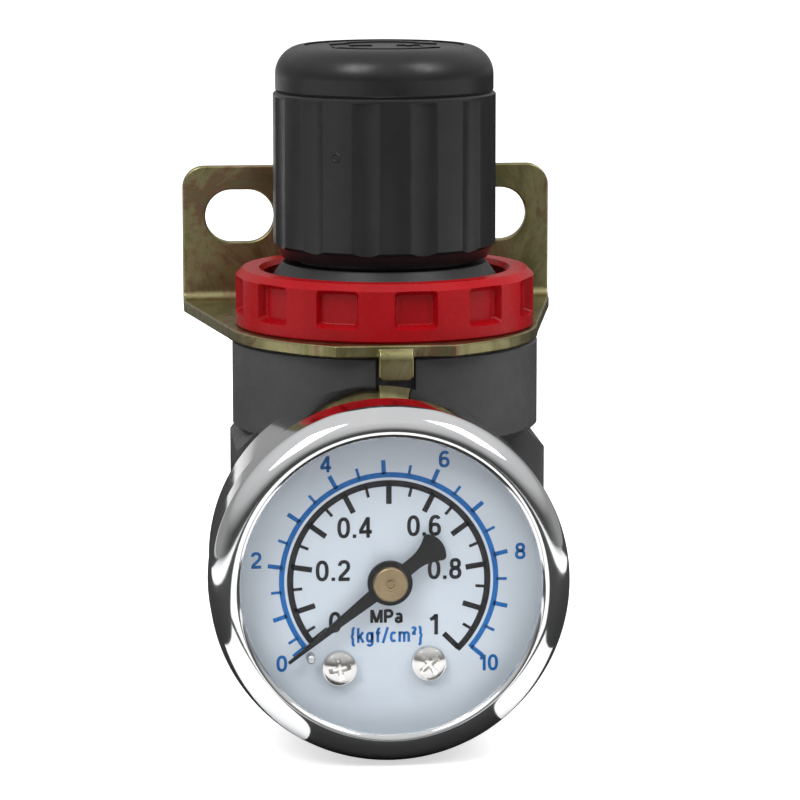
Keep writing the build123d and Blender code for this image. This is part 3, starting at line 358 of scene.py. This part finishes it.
CASE_LOW, CASE_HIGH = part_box("gauge_case")
CASE_R = (CASE_HIGH.x - CASE_LOW.x) / 2 / MM
CASE_BACK, CASE_FRONT = -CASE_HIGH.y / MM, -CASE_LOW.y / MM
CASE_WALL, CASE_HOLE_R, CASE_CORNER = 0.7, 5.0, 2.0
corner_centre = (CASE_R - CASE_CORNER, CASE_BACK + CASE_CORNER)
case_profile = (
    [(CASE_HOLE_R, CASE_BACK)]
    + arc_points(corner_centre, CASE_CORNER, -90, 0, 10)
    + [(CASE_R, CASE_FRONT), (CASE_R - CASE_WALL, CASE_FRONT)]
    + arc_points(corner_centre, CASE_CORNER - CASE_WALL, 0, -90, 8)
    + [(CASE_HOLE_R, CASE_BACK + CASE_WALL)]
)
case = new_piece(
    "case_cup", gauge_turning("case_cup", case_profile), MATERIALS["gauge_chrome"],
    "housing")
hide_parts("gauge_case")


# --------------------------------------------------- springs and diaphragm

def flexing(node):
    """A soft CAD node copied to a piece of its own, its mesh set in place, the node hidden."""
    name = node + "_flexing"
    mesh = frame["nodes"][node].data.copy()
    mesh.name = name
    piece = bpy.data.objects.new(name, mesh)
    bpy.context.scene.collection.objects.link(piece)
    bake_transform(piece)
    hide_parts(node)


for joint in frame["record"]["behaviour"]["joints"]:
    for soft in joint.get("deforming_nodes", ()):
        flexing(soft["node"])


# ------------------------------------------------------------- dial printing

DIAL_LOW, DIAL_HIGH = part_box("gauge_dial")
DIAL_X = (DIAL_LOW.x + DIAL_HIGH.x) / 2
DIAL_Z = (DIAL_LOW.z + DIAL_HIGH.z) / 2
DIAL_FRONT = DIAL_LOW.y
INK_FRONT = DIAL_FRONT - 0.02 * MM
INK_BACK = DIAL_FRONT + 0.005 * MM     # the ink reaches a little into the plate


def dial_point(radius, angle):
    """A point of the dial in mm, angle in degrees clockwise from the top."""
    return radius * sin(radians(angle)), radius * cos(radians(angle))


def on_dial(u, v, depth):
    """The point u right of the dial's centre and v above it, in mm, at a depth in metres."""
    return DIAL_X + u * MM, depth, DIAL_Z + v * MM


def ink_mesh(strokes):
    """A thin raised layer of ink from strokes given in mm about the dial's centre."""
    build = bmesh.new()
    add_bars(build, strokes, on_dial, INK_FRONT, INK_BACK)
    bmesh.ops.recalc_face_normals(build, faces=build.faces)
    mesh = bpy.data.meshes.new("ink")
    build.to_mesh(mesh)
    build.free()
    return mesh


SCALE_START, SCALE_SWEEP = -135, 270
HALF_DIVISIONS = 20
MPA_PER_UNIT = 0.0980665       # one division of the outer scale, in MPa
ZERO = -128.3                  # both zero marks stand a little above the end of the scale
BLACK_R, BLUE_R = 11.8, 12.82
# Inner radius, outer radius and width of a long mark and of a short one, in mm.
BLACK_TICKS = (9.3, BLACK_R, 0.66), (10.4, BLACK_R, 0.36)
BLUE_TICKS = (12.85, 14.6, 0.52), (12.85, 14.15, 0.34)


def scale_angle(share):
    """Angle of a reading, as a share of the full scale, in degrees clockwise from the top."""
    return SCALE_START + SCALE_SWEEP * share


def tick(inner, outer, width, angle):
    """One mark of a scale, along a radius."""
    return stroke([dial_point(inner, angle), dial_point(outer, angle)], width)


def band(radius, width, start, end, steps=160):
    """The arc that a scale's marks stand on."""
    return stroke(
        [dial_point(radius, start + (end - start) * i / steps) for i in range(steps + 1)], width)


black_marks = [band(BLACK_R, 0.76, ZERO - 1.2, scale_angle(1) + 1.2)]
blue_marks = [band(BLUE_R, 0.64, ZERO - 0.8, scale_angle(10 * MPA_PER_UNIT) + 0.8)]
for step in range(HALF_DIVISIONS + 1):
    between = step % 2         # long marks at the whole divisions, short ones between
    angle = scale_angle(step / HALF_DIVISIONS) if step else ZERO
    black_marks.append(tick(*BLACK_TICKS[between], angle))
    angle = scale_angle(step / 2 * MPA_PER_UNIT) if step else ZERO
    blue_marks.append(tick(*BLUE_TICKS[between], angle))
new_piece("dial_black_scale", ink_mesh(black_marks), INK_BLACK, "housing")
new_piece("dial_blue_scale", ink_mesh(blue_marks), INK_BLUE, "housing")


def curve(x, y, across, up, start, end, steps=20, power=0.86):
    """Points of a slightly squared ellipse, angles in degrees counterclockwise from the right."""
    points = []
    for i in range(steps + 1):
        turn = radians(start + (end - start) * i / steps)
        points.append((
            x + across * abs(cos(turn)) ** power * (1 if cos(turn) >= 0 else -1),
            y + up * abs(sin(turn)) ** power * (1 if sin(turn) >= 0 else -1),
        ))
    return points


def loop(x, y, across, up):
    """A closed oval, without its last point, which is the first one again."""
    return curve(x, y, across, up, 0, 342, 19), True


# Each character is its width and its lines, with whether a line closes, one unit tall.
GLYPHS = {
    "0": (0.58, [loop(0.29, 0.5, 0.215, 0.425)]),
    "1": (0.36, [
        ([(0.27, 0.0), (0.27, 1.0)], False),
        ([(0.02, 0.74), (0.14, 0.80), (0.27, 0.96)], False)]),
    "2": (0.56, [
        (curve(0.275, 0.70, 0.20, 0.225, 175, -20, 14)
         + [(0.44, 0.55), (0.30, 0.38), (0.13, 0.20), (0.085, 0.075)], False),
        ([(0.02, 0.075), (0.54, 0.075)], False)]),
    "4": (0.60, [
        ([(0.42, 0.0), (0.42, 1.0)], False), ([(0.40, 0.94), (0.06, 0.32)], False),
        ([(0.0, 0.285), (0.60, 0.285)], False)]),
    "6": (0.56, [
        loop(0.285, 0.315, 0.205, 0.24),
        (curve(0.315, 0.50, 0.235, 0.425, 200, 90, 12)
         + curve(0.315, 0.74, 0.165, 0.185, 80, 20, 5), False)]),
    "8": (0.56, [loop(0.28, 0.735, 0.18, 0.19), loop(0.28, 0.29, 0.205, 0.215)]),
    ".": (0.17, [([(0.085, 0.0), (0.085, 0.17)], False)]),
    "M": (0.82, [
        ([(0.08, 0.0), (0.08, 1.0)], False), ([(0.10, 0.98), (0.41, 0.02)], False),
        ([(0.41, 0.02), (0.72, 0.98)], False), ([(0.74, 0.0), (0.74, 1.0)], False)]),
    "P": (0.62, [
        ([(0.08, 0.0), (0.08, 1.0)], False),
        ([(0.08, 0.925)] + curve(0.33, 0.69, 0.215, 0.235, 90, -90, 12, 1.0)
         + [(0.08, 0.455)], False)]),
    "a": (0.54, [
        loop(0.25, 0.205, 0.17, 0.15), ([(0.43, 0.0), (0.43, 0.5)], False),
        (curve(0.26, 0.48, 0.17, 0.17, 0, 150, 8), False)]),
    "k": (0.52, [
        ([(0.08, 0.0), (0.08, 1.0)], False), ([(0.44, 0.72), (0.10, 0.30)], False),
        ([(0.22, 0.42), (0.46, 0.0)], False)]),
    "g": (0.56, [
        loop(0.26, 0.36, 0.18, 0.28), ([(0.46, 0.72), (0.46, 0.0)], False),
        (curve(0.27, 0.0, 0.19, 0.20, 0, -150, 8), False)]),
    "f": (0.38, [
        ([(0.17, 0.0), (0.17, 0.78)] + curve(0.32, 0.78, 0.15, 0.15, 170, 80, 5), False),
        ([(0.02, 0.65), (0.36, 0.65)], False)]),
    "/": (0.42, [([(0.03, -0.05), (0.39, 1.02)], False)]),
    "c": (0.50, [(curve(0.26, 0.36, 0.18, 0.28, 48, 312, 14), False)]),
    "m": (0.84, [
        ([(0.08, 0.0), (0.08, 0.72)], False),
        (curve(0.245, 0.44, 0.165, 0.20, 170, 0, 8) + [(0.41, 0.0)], False),
        (curve(0.575, 0.44, 0.165, 0.20, 170, 0, 8) + [(0.74, 0.0)], False)]),
    "²": (0.32, [
        (curve(0.15, 0.86, 0.11, 0.10, 170, -20, 8) + [(0.16, 0.66), (0.06, 0.56)], False),
        ([(0.02, 0.54), (0.30, 0.54)], False)]),
    "{": (0.36, [
        (curve(0.32, 0.87, 0.14, 0.13, 90, 180, 5) + [(0.18, 0.55), (0.07, 0.42)], False),
        ([(0.07, 0.42), (0.18, 0.29)] + curve(0.32, -0.05, 0.14, 0.13, 180, 270, 5), False)]),
}
BRACE_WIDTH, BRACE_LINES = GLYPHS["{"]
GLYPHS["}"] = (BRACE_WIDTH, [
    ([(BRACE_WIDTH - x, y) for x, y in points], closed) for points, closed in BRACE_LINES])
LETTER_GAP = 0.13


def label(name, text, u, v, width, height, weight, ink, slot):
    """Printed characters, fitted to a box of width by height mm about u, v."""
    outlines, total = [], -LETTER_GAP
    for character in text:
        advance, parts = GLYPHS[character]
        total += LETTER_GAP
        for points, closed in parts:
            outlines.append(([(total + x, y) for x, y in points], closed))
        total += advance
    heights = [y for points, _ in outlines for _, y in points]
    low, high = min(0.0, *heights), max(1.0, *heights)
    strokes = []
    for points, closed in outlines:
        placed = [
            (u + (x / total - 0.5) * width, v + ((y - low) / (high - low) - 0.5) * height)
            for x, y in points
        ]
        strokes.append(stroke(placed, weight, closed))
    return new_piece(name, ink_mesh(strokes), ink, "housing")


# Text, place right of and above the centre, width, height and thickness of line, in mm.
BLACK_LABELS = (
    ("0", -6.45, -4.95, 1.45, 2.5, 0.44), ("0.2", -6.68, 1.32, 4.1, 2.5, 0.44),
    ("0.4", -4.08, 6.50, 4.1, 2.5, 0.44), ("0.6", 4.20, 6.60, 4.0, 2.5, 0.44),
    ("0.8", 6.67, 1.32, 4.0, 2.5, 0.44), ("1", 5.40, -5.45, 1.05, 2.5, 0.45),
    ("MPa", -0.28, -4.33, 3.85, 1.6, 0.37),
)
BLUE_LABELS = (
    ("0", -12.85, -9.88, 1.25, 1.95, 0.37), ("2", -15.82, 2.75, 1.25, 1.95, 0.37),
    ("4", -7.50, 14.2, 1.3, 1.95, 0.37), ("6", 6.6, 14.6, 1.25, 1.95, 0.37),
    ("8", 15.75, 3.3, 1.25, 1.95, 0.37), ("10", 12.0, -10.25, 2.2, 1.95, 0.37),
    ("{kgf/cm²}", -0.28, -6.78, 8.7, 2.2, 0.32),
)
for number, (text, *place) in enumerate(BLACK_LABELS):
    label(f"dial_black_label_{number}", text, *place, INK_BLACK, "pointer_black")
for number, (text, *place) in enumerate(BLUE_LABELS):
    label(f"dial_blue_label_{number}", text, *place, INK_BLUE, "dial_white")


# ------------------------------------------------------------- dial screws

SCREW_LOW, SCREW_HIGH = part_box("gauge_dial_screws")
SCREW_TOP, SCREW_BASE = -SCREW_LOW.y / MM, -SCREW_HIGH.y / MM
SCREW_HEAD_BASE = max(SCREW_BASE, -DIAL_FRONT / MM + 0.02)
SCREW_R, SCREW_DOME, SCREW_EDGE = 2.1, 0.62, 0.16
CROSS_ARM, CROSS_HALF, CROSS_DEPTH = 1.35, 0.30, 0.62
CROSS_SIDE_SLOPE, CROSS_END_SLOPE = 0.12, 0.5
SCREWS = ((-5.97, -10.5, 12.0), (4.75, -10.1, 38.0))     # place and turn of each
SCREW_RINGS, SCREW_STEPS = 30, 120
SCREW_TURNS = [2 * pi * k / SCREW_STEPS for k in range(SCREW_STEPS)]


def screw_height(r, turn, across):
    """Height of a domed head above its base at a radius, with a cross recess cut in it."""
    height = SCREW_TOP - SCREW_HEAD_BASE - SCREW_DOME * (r / SCREW_R) ** 2
    u, v = abs(r * cos(turn - across)), abs(r * sin(turn - across))
    along, aside = max(u, v), min(u, v)
    inside = min(
        (CROSS_HALF - aside) / CROSS_SIDE_SLOPE, (CROSS_ARM - along) / CROSS_END_SLOPE, 1.0)
    return height - CROSS_DEPTH * max(0.0, inside)


def screw_heads():
    """Both heads as one mesh: dome, rolled edge, side and flat back."""
    build = bmesh.new()
    flat_r = SCREW_R - SCREW_EDGE
    rim = screw_height(flat_r, 0.0, 0.0)
    for x, z, degrees in SCREWS:

        def point(r, turn, height):
            return build.verts.new((
                GAUGE_X + (x + r * cos(turn)) * MM, -(SCREW_HEAD_BASE + height) * MM,
                GAUGE_Z + (z + r * sin(turn)) * MM))

        rings = []
        for i in range(1, SCREW_RINGS + 1):
            r = flat_r * i / SCREW_RINGS
            rings.append([
                point(r, turn, screw_height(r, turn, radians(degrees))) for turn in SCREW_TURNS])
        for r, drop in ((flat_r + SCREW_EDGE * 0.6, 0.03), (SCREW_R, SCREW_EDGE), (SCREW_R, rim)):
            rings.append([point(r, turn, rim - drop) for turn in SCREW_TURNS])
        middle = point(0.0, 0.0, screw_height(0.0, 0.0, 0.0))
        for k in range(SCREW_STEPS):
            after = (k + 1) % SCREW_STEPS
            build.faces.new((middle, rings[0][k], rings[0][after]))
            for one, two in zip(rings, rings[1:]):
                build.faces.new((one[k], two[k], two[after], one[after]))
        build.faces.new(rings[-1])
    return shade(build, "dial_screw_heads", 40)


heads = new_piece(
    "dial_screw_heads", screw_heads(), MATERIALS["screw_chrome"], "housing")
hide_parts("gauge_dial_screws")


# ---------------------------------------------------------------- knob details

CAP_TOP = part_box("knob_top_plate")[1].z
KNOB_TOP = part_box("knob")[1].z
MARK_TOP = min(KNOB_TOP, CAP_TOP + 0.18 * MM)
MARK_ROOT = CAP_TOP - 0.05 * MM


def on_knob(x, y, height):
    """The point at x and y from the knob's axis, in mm, at a height in metres."""
    return x * MM, y * MM, height


def top_mark(name, strokes):
    """Raised marks on the knob's top plate, strokes in mm about its axis."""
    build = bmesh.new()
    add_bars(build, strokes, on_knob, MARK_TOP, MARK_ROOT)
    return new_piece(
        name, shade(build, name), MATERIALS["knob_black"], "knob_group")


ARROW_R, ARROW_WIDTH, ARROW_HEAD, ARROW_POINT = 7.2, 1.3, 3.2, 26
SHOULDER, TIP_HALF, ARROW_STEPS = 0.6, 0.02, 24
SIGN_WIDTH = 0.8
GATE_R, GATE_TURN, GATE_Z = 14.42, radians(-90 - 30.0), 69.1
GATE_RING, GATE_TUBE = 0.50, 0.17
GATE_STEPS, GATE_SIDES = 32, 10


def turn_arrow(start, end):
    """A curved bar in one outline with an arrow head at both ends, angles in degrees."""
    bar, head = ARROW_WIDTH / 2, ARROW_HEAD / 2
    rows = [(start - ARROW_POINT, TIP_HALF), (start, head), (start + SHOULDER, bar)]
    rows += [(start + (end - start) * i / ARROW_STEPS, bar) for i in range(1, ARROW_STEPS)]
    rows += [(end - SHOULDER, bar), (end, head), (end + ARROW_POINT, TIP_HALF)]
    left, right = [], []
    for degrees, half in rows:
        turn = radians(degrees)
        left.append(((ARROW_R + half) * cos(turn), (ARROW_R + half) * sin(turn)))
        right.append(((ARROW_R - half) * cos(turn), (ARROW_R - half) * sin(turn)))
    return left, right, False


def gate_mark():
    """The small ring that the moulding gate leaves on the side of the knob."""
    build = bmesh.new()
    out, side = (cos(GATE_TURN), sin(GATE_TURN)), (-sin(GATE_TURN), cos(GATE_TURN))
    rings = []
    for i in range(GATE_STEPS):
        turn = 2 * pi * i / GATE_STEPS
        ring = []
        for k in range(GATE_SIDES):
            roll = 2 * pi * k / GATE_SIDES
            reach = GATE_RING + GATE_TUBE * cos(roll)
            r, across = GATE_R + GATE_TUBE * sin(roll), reach * cos(turn)
            ring.append(build.verts.new((
                (out[0] * r + side[0] * across) * MM, (out[1] * r + side[1] * across) * MM,
                (GATE_Z + reach * sin(turn)) * MM)))
        rings.append(ring)
    for i in range(GATE_STEPS):
        one, two = rings[i], rings[(i + 1) % GATE_STEPS]
        for k in range(GATE_SIDES):
            after = (k + 1) % GATE_SIDES
            build.faces.new((one[k], two[k], two[after], one[after]))
    return shade(build, "knob_gate_mark", 60)


top_mark("knob_turn_arrows", [turn_arrow(40, 140), turn_arrow(-140, -40)])
new_piece("knob_gate_mark", gate_mark(), MATERIALS["knob_black"], "knob_group")
top_mark("knob_plus_minus", [
    stroke(line, SIGN_WIDTH) for line in (
        [(-4.6, 0), (-1.6, 0)], [(1.6, 0), (4.6, 0)], [(3.1, 0.4), (3.1, 1.5)],
        [(3.1, -1.5), (3.1, -0.4)])
])


# ------------------------------------------------------------ studio and view

def area_light(name, place, target, size, power):
    """A rectangular lamp at a place that faces a target."""
    light = bpy.data.lights.new(name, "AREA")
    light.shape = "RECTANGLE"
    light.size, light.size_y = size
    light.energy = power
    holder = bpy.data.objects.new(name, light)
    holder.location = place
    holder.rotation_euler = (Vector(target) - Vector(place)).to_track_quat("-Z", "Y").to_euler()
    bpy.context.scene.collection.objects.link(holder)
    return holder


def level_sheet(name, corners, faces, height, material):
    """Flat rectangles at one height, as part of the stage."""
    mesh = bpy.data.meshes.new(name)
    mesh.from_pydata([(x, y, height) for x, y in corners], [], faces)
    mesh.materials.append(material)
    sheet = bpy.data.objects.new(name, mesh)
    bpy.context.scene.collection.objects.link(sheet)
    return sheet


FLOOR_Z, FLOOR_HALF, FLOOR_GLOW = cad_bounds[0][2], 4, 0.6
floor_material = finish_material(
    "pale_floor", (0.86, 0.86, 0.86), (0.88, 0.88, 0.88), (0.75, 0.85), patches=8, grain=400,
    depth=0.000005, Emission_Color=(1.0, 1.0, 1.0, 1.0))
# The floor glows a little for the camera alone, so that it stays white to the horizon.
floor_tree = floor_material.node_tree
seen = add_node(floor_tree, "ShaderNodeMath", {
    0: add_node(floor_tree, "ShaderNodeLightPath").outputs["Is Camera Ray"], 1: FLOOR_GLOW,
}, operation="MULTIPLY")
floor_tree.links.new(
    seen.outputs["Value"], floor_tree.nodes["Principled BSDF"].inputs["Emission Strength"])
level_sheet("floor", [
    (-FLOOR_HALF, -FLOOR_HALF), (FLOOR_HALF, -FLOOR_HALF), (FLOOR_HALF, FLOOR_HALF),
    (-FLOOR_HALF, FLOOR_HALF)], [(0, 1, 2, 3)], FLOOR_Z, floor_material)

# A black card over the floor that only reflections see, as a studio puts round chrome.
# Its windows leave white patches low on the ring of the gauge, grey sides, a light inner
# rim and a light cup behind the ring.
CARD_Z = FLOOR_Z + 0.0003
CARD = ((-3.0, -3.9), (3.0, 3.0))
WINDOWS = (
    ((-0.048, -0.100), (-0.015, -0.046)), ((0.013, -0.095), (0.038, -0.044)),
    ((-2.900, -0.900), (-0.150, 0.100)), ((0.170, -0.900), (2.900, 0.100)),
    ((-0.050, -0.420), (0.034, -0.112)), ((-2.900, 0.400), (-0.020, 2.900)),
)


def in_window(x, y):
    """Whether a window of the card leaves this place open."""
    return any(low[0] < x < high[0] and low[1] < y < high[1] for low, high in WINDOWS)


columns, rows = (
    sorted({corner[axis] for pair in (CARD, *WINDOWS) for corner in pair}) for axis in (0, 1))
card_points, card_faces = [], []
for left, right in zip(columns, columns[1:]):
    for near, far in zip(rows, rows[1:]):
        if not in_window((left + right) / 2, (near + far) / 2):
            first = len(card_points)
            card_points += [(left, near), (right, near), (right, far), (left, far)]
            card_faces.append((first, first + 1, first + 2, first + 3))
card = level_sheet("black_card", card_points, card_faces, CARD_Z, finish_material(
    "card_black", (0.008, 0.008, 0.008), (0.012, 0.012, 0.012), (0.8, 0.9)))
for ray in ("camera", "diffuse", "shadow", "transmission"):
    setattr(card, "visible_" + ray, False)

top = area_light("softbox_top", (0.05, -0.05, 0.80), (0, 0, 0.03), (0.7, 0.7), 4.2)
top.visible_glossy = False
area_light("softbox_left", (-0.40, -0.46, 0.66), (0, 0, 0.04), (0.32, 0.4), 3.0)
area_light("softbox_right", (0.46, -0.40, 0.64), (0, 0, 0.04), (0.28, 0.4), 2.2)

SKY_STRENGTH, SKY_SEEN = 0.72, 1.45
world = bpy.data.worlds.new("studio")
world.use_nodes = True
bpy.context.scene.world = world
sky = world.node_tree
around = add_node(sky, "ShaderNodeTexCoord").outputs["Generated"]
aim = add_node(sky, "ShaderNodeSeparateXYZ", {"Vector": around})
# Bright overhead, grey at the sides and dark behind the photographer.
overhead = ramp(sky, aim.outputs["Z"], (0.10, 0.10), (0.35, 0.75), (0.7, 1.0))
front = add_node(sky, "ShaderNodeMapRange", {
    "Value": aim.outputs["Y"], "From Min": -0.9, "From Max": 0.1, "To Min": 0.0, "To Max": 0.45})
total = add_node(sky, "ShaderNodeMath", {
    0: overhead, 1: front.outputs["Result"]}, operation="MAXIMUM")
# The camera itself sees the backdrop as white as the floor.
backdrop = add_node(sky, "ShaderNodeMath", {
    0: add_node(sky, "ShaderNodeLightPath").outputs["Is Camera Ray"], 1: SKY_SEEN,
}, operation="MULTIPLY")
shown = add_node(sky, "ShaderNodeMath", {
    0: total.outputs["Value"], 1: backdrop.outputs["Value"]}, operation="MAXIMUM")
sky.links.new(shown.outputs["Value"], sky.nodes["Background"].inputs["Color"])
sky.nodes["Background"].inputs["Strength"].default_value = SKY_STRENGTH

CAMERA_PLACE = (-0.04173, -0.48970, 0.1145)
LOOK_DOWN, LOOK_ROLL, LOOK_RIGHT = 9.09, 0.052, 5.113     # degrees
camera_data = bpy.data.cameras.new("camera")
camera_data.sensor_width = 36
camera_data.lens = 170.14
camera = bpy.data.objects.new("camera", camera_data)
camera.location = CAMERA_PLACE
camera.rotation_euler = (radians(90 - LOOK_DOWN), radians(LOOK_ROLL), radians(-LOOK_RIGHT))
bpy.context.scene.collection.objects.link(camera)
bpy.context.scene.camera = camera
bpy.context.scene.view_settings.view_transform = "Standard"
